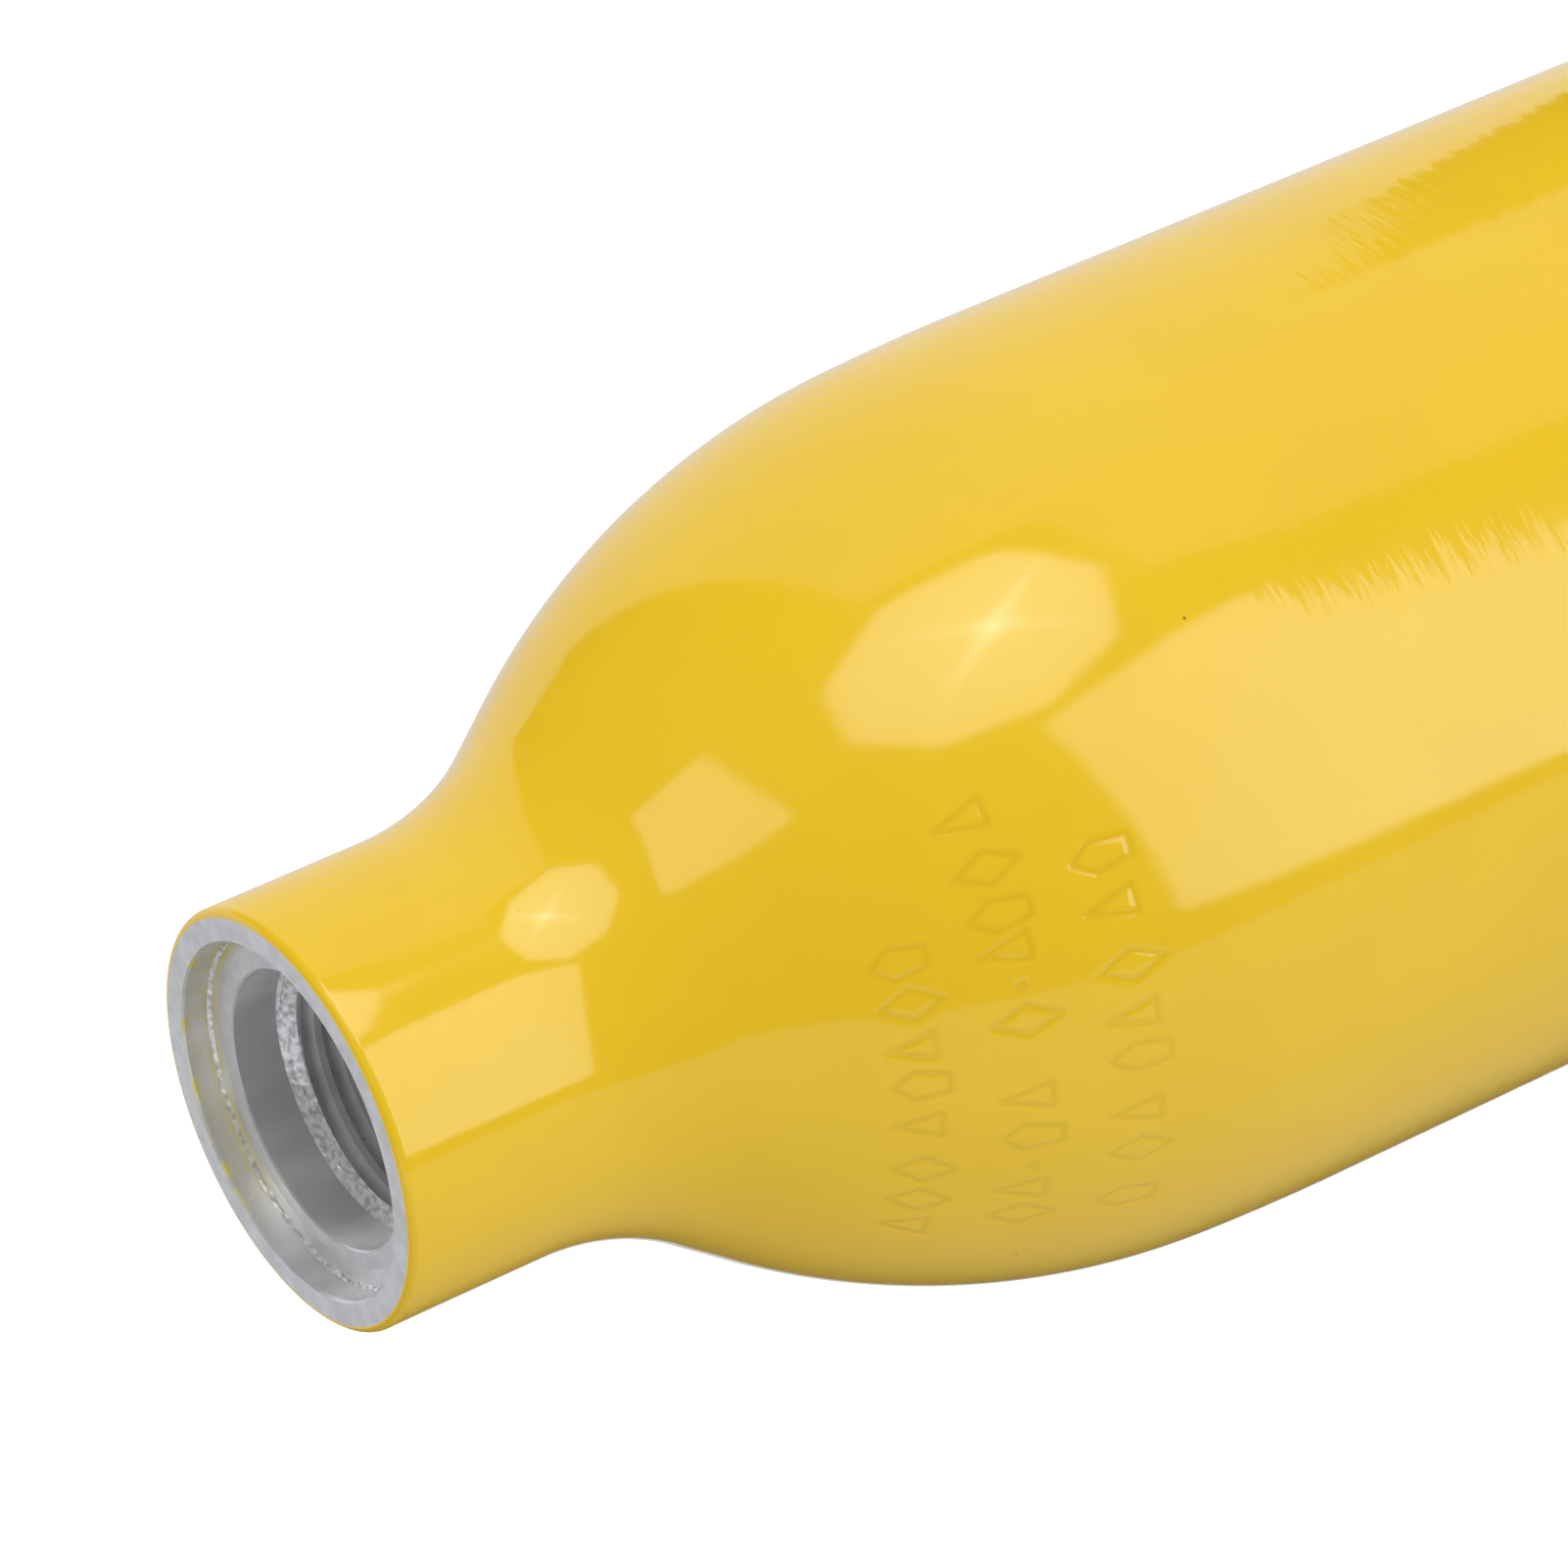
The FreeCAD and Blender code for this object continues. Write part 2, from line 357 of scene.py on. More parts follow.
def draw_up(line, arcs, inset, rows):
    """Draw the same stretches from the foot ring up to the neck's rim."""
    rim, throat, neck, shoulder, fade, body, heel = rows
    line.arc(arcs["heel"], HEEL_RADIUS - inset, -QUARTER, 0, heel)
    line.line_to(line.end[0], arcs["fade"][1], body)
    line.arc(arcs["fade"], FADE_RADIUS - inset, 0, FADE_SLOPE, fade)
    line.arc(arcs["shoulder"], SHOULDER_RADIUS - inset, FADE_SLOPE, SHOULDER_SLOPE, shoulder)
    line.arc(arcs["throat"], THROAT_RADIUS + inset, math.pi + SHOULDER_SLOPE, math.pi, throat)
    line.line_to(line.end[0], arcs["rim"][1], neck)
    line.arc(arcs["rim"], RIM_ROUND - inset, 0, QUARTER, rim)


# ---- the aluminium shell -------------------------------------------------------------------------


def thread_cutter():
    """Solid helix that cuts the 60 degree thread, from the relief groove up into the smooth bore."""
    relief = RELIEF_RADIUS - THREAD_MINOR
    low = TOP - THREAD_DEPTH - relief - RELIEF_WIDTH / 2
    high = TOP - SMOOTH_DEPTH + THREAD_PITCH
    inner = THREAD_MINOR - GROOVE_BEYOND
    root_half = THREAD_PITCH / 16  # half of the flat root, which is an eighth of the pitch
    mouth_half = root_half + (THREAD_MAJOR - inner) * math.tan(THREAD_FLANK)
    line = Outline("thread_cutter", inner, low - mouth_half)
    line.line_to(THREAD_MAJOR, low - root_half)
    line.line_to(THREAD_MAJOR, low + root_half)
    line.line_to(inner, low + mouth_half)
    bpy.ops.mesh.select_all(action="SELECT")
    bpy.ops.mesh.edge_face_add()
    bpy.ops.mesh.delete(type="ONLY_FACE")
    bpy.ops.object.mode_set(mode="OBJECT")
    cutter = line.obj
    bpy.ops.object.modifier_add(type="SCREW")
    screw = cutter.modifiers[-1]
    turns = (high - low) / THREAD_PITCH
    screw.angle = FULL_TURN * turns
    screw.screw_offset = (high - low) * MM
    screw.steps = screw.render_steps = round(THREAD_STEPS * turns)
    screw.use_merge_vertices = False
    bpy.ops.object.modifier_apply(modifier=screw.name)
    bpy.ops.object.mode_set(mode="EDIT")
    bpy.ops.mesh.select_all(action="DESELECT")
    bpy.ops.mesh.select_mode(type="EDGE")
    bpy.ops.mesh.select_non_manifold()
    bpy.ops.mesh.edge_face_add()
    bpy.ops.mesh.select_all(action="SELECT")
    bpy.ops.mesh.normals_make_consistent(inside=False)
    bpy.ops.mesh.select_mode(type="VERT")
    bpy.ops.object.mode_set(mode="OBJECT")
    cutter.rotation_euler.z = THREAD_START
    bpy.ops.object.transform_apply(location=False, rotation=True, scale=False)
    return cutter


def is_torn(place):
    """Whether a place is in the seat's corner, where the burr is, or on the chattered lead-in."""
    radius, depth = place.xy.length / MM, TOP - place.z / MM
    low = SEAT_DEPTH - CORNER_FILLET < depth + SAME_POINT and depth < SEAT_DEPTH + SAME_POINT
    wide = SEAT_RADIUS - CORNER_FILLET < radius + SAME_POINT and radius < SEAT_RADIUS + ON_SURFACE
    lead_in = CHATTER_START < depth < CHATTER_END and radius < SMOOTH_RADIUS - 2 * ON_SURFACE
    return (low and wide) or lead_in


def roughen(shell):
    """Crinkle the burr in the seat's corner and the chattered lead-in of the thread."""
    group = group_where(shell, "chattered", is_torn)
    grit = bpy.data.textures.new("burr", "CLOUDS")
    grit.noise_scale = BURR_SIZE * MM
    grit.noise_depth = 1
    bpy.ops.object.modifier_add(type="DISPLACE")
    crinkle = shell.modifiers[-1]
    crinkle.vertex_group = group.name
    crinkle.texture = grit
    crinkle.texture_coords = "LOCAL"
    crinkle.strength = BURR_HEIGHT * MM
    bpy.ops.object.modifier_apply(modifier=crinkle.name)
    shell.vertex_groups.clear()


def build_shell(bottle):
    """The shell, from the dish round the outside, over the neck and down the inside to its floor."""
    arcs = outer_arcs(bottle)
    inset = bottle.coat / MM
    turn = arcs["lip_turn"]
    line = Outline("aluminium_shell", 0, arcs["dish"][1] + DISH_RADIUS + inset)
    line.arc(arcs["dish"], DISH_RADIUS + inset, QUARTER, QUARTER - turn, 16)
    line.arc(arcs["lip"], LIP_RADIUS - inset, -QUARTER - turn, -QUARTER, 5)
    line.line_to(FOOT_INNER, 0)
    line.line_to(arcs["heel"][0], 0, 3)
    draw_up(line, arcs, inset, SHELL_ROWS)
    line.line_to(arcs["rim"][0], TOP)
    line.line_to(SEAT_RADIUS + SEAT_EDGE, TOP, 4)
    # the opening's bores, from the end face down
    relief = RELIEF_RADIUS - THREAD_MINOR
    thread_end = TOP - THREAD_DEPTH
    line.line_to(SEAT_RADIUS, TOP - SEAT_EDGE)
    line.line_to(SEAT_RADIUS, TOP - SEAT_DEPTH + CORNER_FILLET, 4)
    line.line_to(SEAT_RADIUS - CORNER_FILLET, TOP - SEAT_DEPTH, 3)
    line.line_to(SMOOTH_RADIUS + SHELF_BEVEL, TOP - SEAT_DEPTH, 4)
    line.line_to(SMOOTH_RADIUS, TOP - SEAT_DEPTH - SHELF_BEVEL)
    line.line_to(SMOOTH_RADIUS, TOP - SMOOTH_DEPTH, 3)
    line.line_to(THREAD_MINOR, TOP - SMOOTH_DEPTH - (SMOOTH_RADIUS - THREAD_MINOR), 4)
    line.line_to(THREAD_MINOR, thread_end)
    line.line_to(RELIEF_RADIUS, thread_end - relief)
    line.line_to(RELIEF_RADIUS, thread_end - relief - RELIEF_WIDTH)
    line.line_to(THREAD_MINOR, thread_end - 2 * relief - RELIEF_WIDTH)
    # the gas space, from the neck's bore down to its floor
    mouth = thread_end - 2 * relief - RELIEF_WIDTH - PILOT_LENGTH
    spread = CAVITY_RADIUS - THREAD_MINOR - (DOME_RADIUS + FLARE_RADIUS) * (1 - math.cos(DOME_SLOPE))
    dome_start = mouth - (DOME_RADIUS + FLARE_RADIUS) * math.sin(DOME_SLOPE)
    dome_start -= spread / math.tan(DOME_SLOPE)
    line.arc((THREAD_MINOR + FLARE_RADIUS, mouth), FLARE_RADIUS, math.pi, math.pi + DOME_SLOPE, 8)
    line.arc((CAVITY_RADIUS - DOME_RADIUS, dome_start), DOME_RADIUS, DOME_SLOPE, 0, 14)
    corner = (CAVITY_RADIUS - FLOOR_CORNER, FLOOR_HEIGHT + FLOOR_CORNER)
    line.arc(corner, FLOOR_CORNER, 0, -QUARTER, 10)
    line.line_to(0, FLOOR_HEIGHT, 3)
    shell = line.turned((FULL_TURN, SHELL_COLUMNS))
    roughen(shell)
    cutter = thread_cutter()
    choose(shell)
    bpy.ops.object.modifier_add(type="BOOLEAN")
    cut = shell.modifiers[-1]
    cut.operation = "DIFFERENCE"
    cut.solver = "EXACT"
    cut.object = cutter
    bpy.ops.object.modifier_apply(modifier=cut.name)
    bpy.data.objects.remove(cutter)
    choose(shell)
    bpy.ops.object.shade_smooth_by_angle(angle=SHELL_CREASE)
    return shell


# ---- the enamel coat -----------------------------------------------------------------------------


def build_skin(bottle):
    """The coat from the neck's rim down to the foot ring, with a fine grid where it is stamped."""
    arcs = outer_arcs(bottle)
    inset = bottle.coat / MM
    rows = round((STAMP_BOTTOM - STAMP_TOP) / math.cos(STAMP_SLOPE) / STAMP_ROW)
    line = Outline("enamel_coat", arcs["rim"][0], TOP)
    stamped = ((STAMP_TOP, ROWS_TO_STAMPS), (STAMP_BOTTOM, rows))
    draw_down(line, arcs, 0, COAT_OUTER_ROWS, stamped)
    draw_up(line, arcs, inset, COAT_INNER_ROWS)
    line.line_to(arcs["rim"][0], TOP)
    fine = STAMP_RIGHT - STAMP_LEFT
    rest = FULL_TURN - STAMP_RIGHT
    return line.turned(
        (STAMP_LEFT, round(STAMP_LEFT / COARSE_COLUMN)),
        (fine, round(fine / STAMP_COLUMN)),
        (rest, round(rest / COARSE_COLUMN)),
    )


def build_dish_skin(bottle):
    """The coat over the hollow dish and its lip."""
    arcs = outer_arcs(bottle)
    inset = bottle.coat / MM
    turn = arcs["lip_turn"]
    line = Outline("dish_coat", 0, arcs["dish"][1] + DISH_RADIUS)
    line.arc(arcs["dish"], DISH_RADIUS, QUARTER, QUARTER - turn, 20)
    line.arc(arcs["lip"], LIP_RADIUS, -QUARTER - turn, -QUARTER, 8)
    line.line_to(FOOT_INNER, inset)
    line.arc(arcs["lip"], LIP_RADIUS - inset, -QUARTER, -QUARTER - turn, 5)
    line.arc(arcs["dish"], DISH_RADIUS + inset, QUARTER - turn, QUARTER, 12)
    return line.turned((FULL_TURN, DISH_COLUMNS))


def surface_at(obj, azimuth, depth):
    """A point on the coat's outside and the outward normal there."""
    outward = Vector((math.cos(azimuth), math.sin(azimuth), 0))
    start = outward * (CLEAR_OF_COAT * MM)
    start.z = (TOP - depth) * MM
    hit, place, normal, _ = obj.ray_cast(start, -outward)
    if not hit:
        raise RuntimeError("no coat under a stamped mark")
    return place, normal


def build_marks(coat):
    """Wire shapes lying on the coat: plain geometric signs in three rows."""
    made = []
    for depth, height, marks in STAMP_ROWS:
        for degrees, corners in marks:
            place, normal = surface_at(coat, math.radians(degrees) - QUARTER, depth)
            turn = normal.to_track_quat("Z", "Y").to_euler()
            deselect()
            bpy.ops.mesh.primitive_circle_add(
                vertices=corners or DOT_CORNERS, radius=0.5 * MM, fill_type="NOTHING",
                location=place, rotation=turn,
            )
            mark = bpy.context.object
            wide = MARK_WIDTH if corners else DOT_WIDTH
            tall = height if corners else DOT_WIDTH
            mark.scale = (wide, tall, 1)
            bpy.ops.object.transform_apply(location=True, rotation=True, scale=True)
            made.append(mark)
    deselect()
    for mark in made:
        mark.select_set(True)
    bpy.context.view_layer.objects.active = made[0]
    bpy.ops.object.join()
    return bpy.context.object


def is_stamped(place):
    """Whether a place is in the part of the coat with the fine grid."""
    centre, half = (STAMP_LEFT + STAMP_RIGHT) / 2, (STAMP_RIGHT - STAMP_LEFT) / 2
    middle = Vector((math.cos(centre), math.sin(centre)))
    low, high = (TOP - STAMP_BOTTOM) * MM, (TOP - STAMP_TOP) * MM
    return low <= place.z <= high and place.xy.normalized().dot(middle) > math.cos(half)


def stamp(coat, depth):
    """Press the marks into the fine part of the coat."""
    marks = build_marks(coat)
    group = group_where(coat, "stamped", is_stamped)
    bpy.ops.object.modifier_add(type="VERTEX_WEIGHT_PROXIMITY")
    near = coat.modifiers[-1]
    near.vertex_group = group.name
    near.target = marks
    near.proximity_mode = "GEOMETRY"
    near.proximity_geometry = {"EDGE"}
    near.min_dist = MARK_REACH * MM
    near.max_dist = MARK_FLOOR * MM
    near.falloff_type = "SMOOTH"
    bpy.ops.object.modifier_add(type="DISPLACE")
    press = coat.modifiers[-1]
    press.vertex_group = group.name
    press.direction = "NORMAL"
    press.mid_level = 0
    press.strength = -depth
    bpy.ops.object.modifier_apply(modifier=near.name)
    # each mark's depth is kept as an attribute, which paints shade into the grooves of the enamel
    weights = [sum(g.weight for g in vertex.groups) for vertex in coat.data.vertices]
    bpy.ops.object.modifier_apply(modifier=press.name)
    painted_stamp_shade = coat.data.attributes.new("painted_stamp_shade", "FLOAT", "POINT")
    painted_stamp_shade.data.foreach_set("value", weights)
    bpy.data.objects.remove(marks)
    coat.vertex_groups.clear()


def build_coat(bottle):
    """Both skins as one piece."""
    skin = build_skin(bottle)
    stamp(skin, bottle.stamp_depth)
    dish = build_dish_skin(bottle)
    choose(skin)
    dish.select_set(True)
    bpy.ops.object.join()
    bpy.ops.object.shade_smooth_by_angle(angle=COAT_CREASE)
    return skin


# ---- materials -----------------------------------------------------------------------------------


SMOOTH = {"interpolation_type": "SMOOTHSTEP"}
TIMES = {"operation": "MULTIPLY"}
PLUS = {"operation": "ADD"}
COLOURS = {"data_type": "RGBA"}


def add_node(tree, kind, **settings):
    """Add a shader node and give it its settings.

    A setting's name is a field of the node, a socket's name with _ for a space, or a socket's number
    after _. Its value may be an output to link, or a node, which stands for its first output.
    """
    made = tree.nodes.new("ShaderNode" + kind)
    for name, value in settings.items():
        if hasattr(made, name):
            setattr(made, name, value)
            continue
        socket = made.inputs[int(name[1:]) if name[0] == "_" else name.replace("_", " ")]
        if isinstance(value, bpy.types.Node):
            value = value.outputs[0]
        if isinstance(value, bpy.types.NodeSocket):
            tree.links.new(value, socket)
        else:
            socket.default_value = value
    return made


def new_material(name):
    """An empty node material and its tree."""
    material = bpy.data.materials.new(name)
    material.use_nodes = True
    tree = material.node_tree
    tree.nodes.clear()
    return material, tree


def rgba(colour):
    """A colour with full alpha."""
    return (*colour, 1)


def toned(colour, *shares):
    """A colour with full alpha, its parts multiplied by one share or by three."""
    if len(shares) == 1:
        shares = shares * 3
    return rgba(tuple(min(1, part * share) for part, share in zip(colour, shares)))


def per_size(*sizes):
    """The scale, along each axis, of a pattern whose bumps are these sizes in millimetres."""
    return tuple(1 / (size * MM) for size in sizes)


def gloss_enamel(colour):
    """Gloss enamel, sprayed: orange peel, and the drawn tube's fine waves showing through the film."""
    material, tree = new_material("gloss_enamel_sprayed")
    place = add_node(tree, "TexCoord").outputs["Object"]
    orange = add_node(tree, "TexNoise", Vector=place, Scale=1 / (2.4 * MM), Detail=2.0)
    peel = add_node(tree, "Bump", Height=orange, Strength=1.0, Distance=0.007 * MM)
    # waves of the straight body, 1.3 mm apart along it and 6 mm round it, that die away up the shoulder
    height = add_node(tree, "SeparateXYZ", Vector=place).outputs["Z"]
    straight = add_node(
        tree, "MapRange", **SMOOTH, Value=height, From_Min=(TOP - 68) * MM, From_Max=(TOP - 44) * MM,
        To_Min=1.0, To_Max=0.06,
    )
    stretched = add_node(tree, "Mapping", Vector=place, Scale=per_size(6, 6, 1.3))
    ripple = add_node(tree, "TexNoise", Vector=stretched, Scale=1.0, Detail=3.0)
    ripple = add_node(tree, "Math", **TIMES, _0=ripple, _1=straight)
    waves = add_node(tree, "Bump", Height=ripple, Strength=1.0, Distance=0.032 * MM, Normal=peel)
    swell = add_node(tree, "TexNoise", Vector=place, Scale=1 / (14.0 * MM), Detail=1.0)
    slow = add_node(tree, "Bump", Height=swell, Strength=1.0, Distance=0.012 * MM, Normal=waves)
    # the film's depth of colour drifts a little from place to place
    cloud = add_node(tree, "TexNoise", Vector=place, Scale=1 / (9.0 * MM), Detail=2.0)
    drift = add_node(tree, "MapRange", **SMOOTH, Value=cloud, From_Min=0.35, From_Max=0.65)
    deep = toned(colour, 0.985, 0.975, 0.94)
    tint = add_node(tree, "Mix", **COLOURS, _0=drift, _6=deep, _7=rgba(colour)).outputs[2]
    # painted shade: the film is darker in the stamped marks, where the grooves' shade would fall
    painted_stamp_shade = add_node(tree, "Attribute", attribute_name="painted_stamp_shade").outputs["Fac"]
    tint = add_node(tree, "Mix", **COLOURS, _0=painted_stamp_shade, _6=tint, _7=toned(colour, 0.92, 0.9, 0.83)).outputs[2]
    # dust in the film: rare dark specks about a quarter of a millimetre across
    cells = add_node(tree, "TexVoronoi", feature="F1", Vector=place, Scale=1 / (3.2 * MM))
    near = add_node(
        tree, "MapRange", **SMOOTH, Value=cells.outputs["Distance"], From_Min=0.028, From_Max=0.05,
        To_Min=1.0, To_Max=0.0,
    )
    chance = add_node(tree, "SeparateColor", Color=cells.outputs["Color"])
    rare = add_node(tree, "MapRange", **SMOOTH, Value=chance, From_Min=0.955, From_Max=0.96)
    speck = add_node(tree, "Math", **TIMES, _0=near, _1=rare)
    speck = add_node(tree, "Math", **TIMES, _0=speck, _1=0.75)
    dust = rgba(linear("#6B5312"))
    tint = add_node(tree, "Mix", **COLOURS, _0=speck, _6=tint, _7=dust).outputs[2]
    shader = add_node(tree, "BsdfPrincipled", Base_Color=tint, Roughness=0.1, IOR=1.5, Normal=slow)
    add_node(tree, "OutputMaterial", Surface=shader)
    return material


def distance_from_axis(tree, place):
    """How far a point is from the bottle's axis, in millimetres."""
    flat = add_node(tree, "VectorMath", **TIMES, _0=place, _1=(1 / MM, 1 / MM, 0))
    return add_node(tree, "VectorMath", operation="LENGTH", _0=flat).outputs["Value"]


def faced_aluminium(colour):
    """Aluminium, faced on a lathe and handled since: matt grey with fine rings and a few nicks."""
    material, tree = new_material("aluminium_faced")
    place = add_node(tree, "TexCoord").outputs["Object"]
    turns = add_node(tree, "Math", **TIMES, _0=distance_from_axis(tree, place), _1=FULL_TURN / 0.16)
    rings = add_node(tree, "Math", operation="SINE", _0=turns)
    rings = add_node(tree, "Bump", Height=rings, Strength=1.0, Distance=0.0012 * MM)
    nicks = add_node(tree, "TexNoise", Vector=place, Scale=1 / (0.35 * MM), Detail=4.0)
    nicks = add_node(tree, "Bump", Height=nicks, Strength=1.0, Distance=0.006 * MM, Normal=rings)
    cloud = add_node(tree, "TexNoise", Vector=place, Scale=1 / (1.2 * MM), Detail=4.0)
    clean = add_node(tree, "MapRange", **SMOOTH, Value=cloud, From_Min=0.3, From_Max=0.7)
    tint = add_node(tree, "Mix", **COLOURS, _0=clean, _6=toned(colour, 0.9), _7=rgba(colour)).outputs[2]
    matt = add_node(
        tree, "MapRange", **SMOOTH, Value=cloud, From_Min=0.3, From_Max=0.7, To_Min=0.5, To_Max=0.4
    )
    shader = add_node(
        tree, "BsdfPrincipled", Base_Color=tint, Metallic=0.5, Roughness=matt, Normal=nicks
    )
    add_node(tree, "OutputMaterial", Surface=shader)
    return material


def overspray(tree, place, radius, depth):
    """How much enamel has drifted onto the seal seat, from 0 to 1."""
    # it lies on the half of the seat that faces the spray gun
    toward = add_node(tree, "VectorMath", operation="DOT_PRODUCT", _0=place, _1=(0.6 / MM, 0.8 / MM, 0))
    side = add_node(
        tree, "MapRange", **SMOOTH, Value=toward.outputs["Value"], From_Min=4.4, From_Max=8.0
    )
    # a fine mist on the seat's wall; then a thicker film in its corner; then spots along its upper edge.
    # for each: size and detail of its pattern, what the pattern's range gives, and where it lies
    films = (
        (0.3, 4.0, (0.36, 0.7, 0.06, 0.42), (SEAT_RADIUS - 0.4, SEAT_RADIUS - 0.05), None),
        (2.2, 3.0, (0.35, 0.6, 0.2, 0.75), (SEAT_RADIUS - 1.1, SEAT_RADIUS - 0.2),
         (SEAT_DEPTH - 0.8, SEAT_DEPTH - 0.1)),
        (2.4, 3.0, (0.5, 0.64, 0.0, 0.8), (SEAT_RADIUS - 0.2, SEAT_RADIUS - 0.04), (0.9, 0.2)),
    )
    total = 0.0
    for size, detail, (low, high, least, most), outward, downward in films:
        film = add_node(tree, "TexNoise", Vector=place, Scale=1 / (size * MM), Detail=detail)
        film = add_node(
            tree, "MapRange", **SMOOTH, Value=film, From_Min=low, From_Max=high, To_Min=least, To_Max=most
        )
        for where, reach in ((radius, outward), (depth, downward)):
            if reach:
                near = add_node(
                    tree, "MapRange", **SMOOTH, Value=where, From_Min=reach[0], From_Max=reach[1]
                )
                film = add_node(tree, "Math", **TIMES, _0=film, _1=near)
        total = add_node(tree, "Math", operation="MAXIMUM", _0=total, _1=film)
    return add_node(tree, "Math", **TIMES, _0=side, _1=total)


def turned_aluminium_painted_sheen(colour, enamel):
    """Aluminium, bored on a lathe: bright and ringed, with painted reflections as light and dark streaks
    down the bore, and enamel overspray in the seal seat.
    """
    material, tree = new_material("aluminium_bored_painted_sheen")
    place = add_node(tree, "TexCoord").outputs["Object"]
    radius = distance_from_axis(tree, place)
    height = add_node(tree, "SeparateXYZ", Vector=place).outputs["Z"]
    height = add_node(tree, "Math", operation="DIVIDE", _0=height, _1=MM)
    depth = add_node(tree, "Math", operation="SUBTRACT", _0=TOP, _1=height)
    along = add_node(tree, "Math", **PLUS, _0=radius, _1=height)
    turns = add_node(tree, "Math", **TIMES, _0=along, _1=FULL_TURN / 0.21)
    rings = add_node(tree, "Math", operation="SINE", _0=turns)
    rings = add_node(tree, "Bump", Height=rings, Strength=1.0, Distance=0.0018 * MM)
    round_it = add_node(tree, "Mapping", Vector=place, Scale=per_size(0.8, 0.8, 0.144))
    marks = add_node(tree, "TexNoise", Vector=round_it, Scale=1.0, Detail=3.0)
    marks = add_node(tree, "Bump", Height=marks, Strength=1.0, Distance=0.010 * MM, Normal=rings)
    # painted reflection: long streaks lighter and darker than the metal stand in for the bore's streaked
    # reflections; they also vary its gloss
    down_it = add_node(tree, "Mapping", Vector=place, Scale=per_size(5, 5, 15))
    painted_sheen_and_gloss_streaks = add_node(tree, "TexNoise", Vector=down_it, Scale=1.0, Detail=2.0)
    bright = add_node(tree, "MapRange", **SMOOTH, Value=painted_sheen_and_gloss_streaks, From_Min=0.3, From_Max=0.68)
    metal = add_node(tree, "Mix", **COLOURS, _0=bright, _6=toned(colour, 0.78), _7=toned(colour, 1.14))
    # a thin film of the enamel over grey metal looks greener than the full coat
    spray = overspray(tree, place, radius, depth)
    thin = toned(enamel, 0.82, 1.06, 1.6)
    tint = add_node(tree, "Mix", **COLOURS, _0=spray, _6=metal.outputs[2], _7=thin).outputs[2]
    bare = add_node(tree, "Math", operation="MULTIPLY_ADD", _0=spray, _1=-0.5, _2=0.5)
    gloss = add_node(
        tree, "MapRange", **SMOOTH, Value=painted_sheen_and_gloss_streaks, From_Min=0.3, From_Max=0.7, To_Min=0.36, To_Max=0.22
    )
    shader = add_node(
        tree, "BsdfPrincipled", Base_Color=tint, Metallic=bare, Roughness=gloss, Normal=marks
    )
    add_node(tree, "OutputMaterial", Surface=shader)
    return material


def chattered_aluminium_painted_glints(colour):
    """Aluminium, torn by a chattering tool: ridges across the cut that glint one by one, bumped, and painted
    up to white as painted highlights.
    """
    material, tree = new_material("aluminium_chattered_painted_glints")
    place = add_node(tree, "TexCoord").outputs["Object"]
    across = add_node(tree, "Mapping", Vector=place, Scale=per_size(0.45, 0.45, 0.27))
    ridges_and_painted_glints = add_node(tree, "TexNoise", Vector=across, Scale=1.0, Detail=3.0)
    bright = add_node(tree, "MapRange", **SMOOTH, Value=ridges_and_painted_glints, From_Min=0.3, From_Max=0.65)
    # painted highlight: the ridges' colour runs up to white, standing in for their glints
    white = (1, 1, 1, 1)
    tint = add_node(tree, "Mix", **COLOURS, _0=bright, _6=toned(colour, 0.75), _7=white).outputs[2]
    torn = add_node(tree, "Bump", Height=ridges_and_painted_glints, Strength=1.0, Distance=0.06 * MM)
    shader = add_node(
        tree, "BsdfPrincipled", Base_Color=tint, Metallic=0.45, Roughness=0.2, Normal=torn
    )
    add_node(tree, "OutputMaterial", Surface=shader)
    return material


def drawn_aluminium(colour):
    """Aluminium, drawn into a tube: dull, with long scratches along the bottle."""
    material, tree = new_material("aluminium_drawn")
    place = add_node(tree, "TexCoord").outputs["Object"]
    down_it = add_node(tree, "Mapping", Vector=place, Scale=per_size(0.5, 0.5, 15))
    scratches = add_node(tree, "TexNoise", Vector=down_it, Scale=1.0, Detail=4.0)
    bright = add_node(tree, "MapRange", **SMOOTH, Value=scratches, From_Min=0.3, From_Max=0.7)
    tint = add_node(tree, "Mix", **COLOURS, _0=bright, _6=toned(colour, 0.7), _7=rgba(colour)).outputs[2]
    dull = add_node(
        tree, "MapRange", **SMOOTH, Value=scratches, From_Min=0.3, From_Max=0.7, To_Min=0.38, To_Max=0.5
    )
    scored = add_node(tree, "Bump", Height=scratches, Strength=1.0, Distance=0.01 * MM)
    shader = add_node(
        tree, "BsdfPrincipled", Base_Color=tint, Metallic=1.0, Roughness=dull, Normal=scored
    )
    add_node(tree, "OutputMaterial", Surface=shader)
    return material


